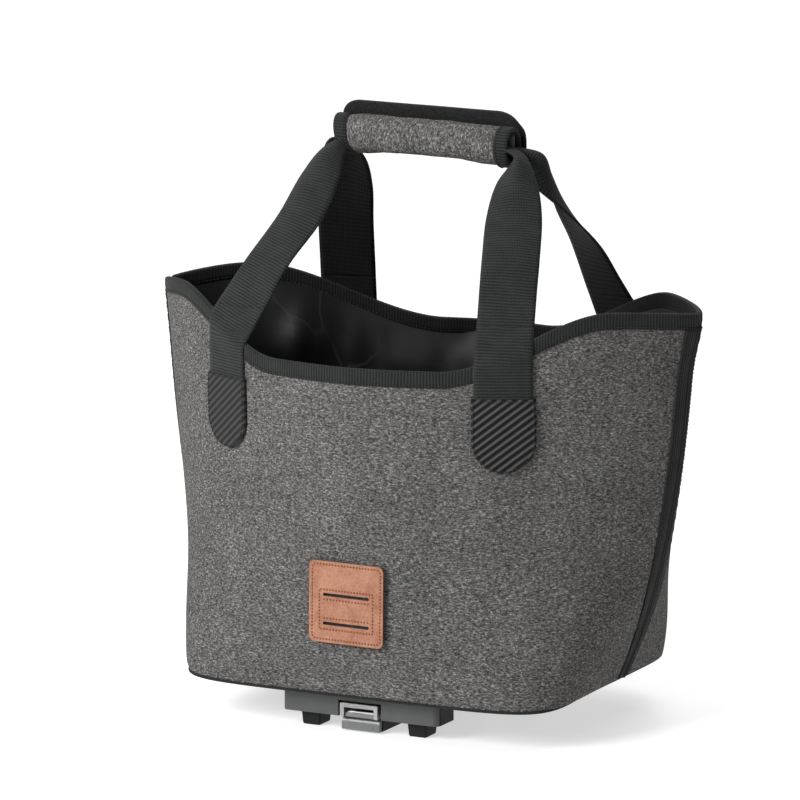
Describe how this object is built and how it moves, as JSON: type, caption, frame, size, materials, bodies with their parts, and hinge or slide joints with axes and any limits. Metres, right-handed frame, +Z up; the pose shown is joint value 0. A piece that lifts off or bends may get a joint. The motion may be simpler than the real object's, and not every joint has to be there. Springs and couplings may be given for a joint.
{
  "type": "bicycle rack shopping bag",
  "caption": "Soft-sided open shopping bag with webbing handles joined by a padded grip and a quick-release rack adapter under its bottom.",
  "frame": {"origin": "on the ground below the middle of the bag, between the four rubber feet", "axes": "+X along the bag, -Y towards the face with the leather patch and the latch, +Z up"},
  "size_m": [0.4126, 0.2416, 0.424],
  "materials": {
    "melange_fabric": "matt grey melange polyester",
    "black_nylon": "coated nylon with a slight sheen",
    "black_webbing": "ribbed polypropylene webbing",
    "black_tape": "matt grosgrain tape",
    "tan_leather": "smooth tan leather",
    "grey_plastic": "moulded dark grey nylon",
    "black_plastic": "moulded black nylon",
    "black_rubber": "matt rubber",
    "silver_latch": "satin silver",
    "steel": "zinc-plated steel"
  },
  "bodies": {
    "root": {"adapter_plate": "grey_plastic", "adapter_rail": "black_plastic", "base_board": "black_plastic", "bottom_panel": "melange_fabric", "bottom_piping": "black_tape", "clamp_plate": "black_plastic", "end_seam_tape_left": "black_tape", "end_seam_tape_right": "black_tape", "foot_front_left": "black_rubber", "foot_front_right": "black_rubber", "foot_rear_left": "black_rubber", "foot_rear_right": "black_rubber", "front_panel": "melange_fabric", "latch_pin": "steel", "latch_spring": "steel", "light_loop": "black_webbing", "light_patch": "tan_leather", "lining": "black_nylon", "nut_1": "steel", "nut_2": "steel", "nut_3": "steel", "nut_4": "steel", "patch_front_left": "black_webbing", "patch_front_right": "black_webbing", "patch_rear_left": "black_webbing", "patch_rear_right": "black_webbing", "rail_screw_1": "steel", "rail_screw_2": "steel", "rail_spacer": "black_plastic", "rear_panel": "melange_fabric", "rim_binding_front": "black_tape", "rim_binding_rear": "black_tape", "screw_1": "steel", "screw_2": "steel", "screw_3": "steel", "screw_4": "steel", "strap_base_front_left": "black_webbing", "strap_base_front_right": "black_webbing", "strap_base_rear_left": "black_webbing", "strap_base_rear_right": "black_webbing", "strap_front_left": "black_webbing", "strap_front_right": "black_webbing", "strap_rear_left": "black_webbing", "strap_rear_right": "black_webbing"},
    "handle": {"grip_core": "black_webbing", "grip_wrap": "melange_fabric", "grip_binding_left": "black_tape", "grip_binding_right": "black_tape"},
    "flap": {"grip_flap": "black_webbing"},
    "latch_lever": {"latch_bail": "silver_latch"},
    "latch_bolt_body": {"latch_bolt": "black_plastic"}
  },
  "joints": [
    {"name": "handle_drop", "type": "slide", "parent": "root", "child": "handle", "axis": [0, 0, 1], "range_m": [-0.07, 0], "deforming": ["strap_front_left", "strap_front_right", "strap_rear_left", "strap_rear_right"]},
    {"name": "flap_open", "type": "hinge", "parent": "handle", "child": "flap", "pos_m": [0, 0.01174, 0.3872], "axis": [-1, 0, 0], "range_deg": [0, 100]},
    {"name": "latch_pull", "type": "hinge", "parent": "root", "child": "latch_lever", "pos_m": [0, -0.0965, 0.0134], "axis": [1, 0, 0], "range_deg": [0, 25], "stiffness_Nm_per_rad": 0.05, "springref_deg": -8.59},
    {"name": "bolt_lift", "type": "slide", "parent": "root", "child": "latch_bolt_body", "axis": [0, 0, 1], "range_m": [0, 0.0026], "deforming": ["latch_spring"]}
  ],
  "couplings": [
    {"joint": "bolt_lift", "follows": "latch_pull", "m_per_rad": 0.00573}
  ]
}
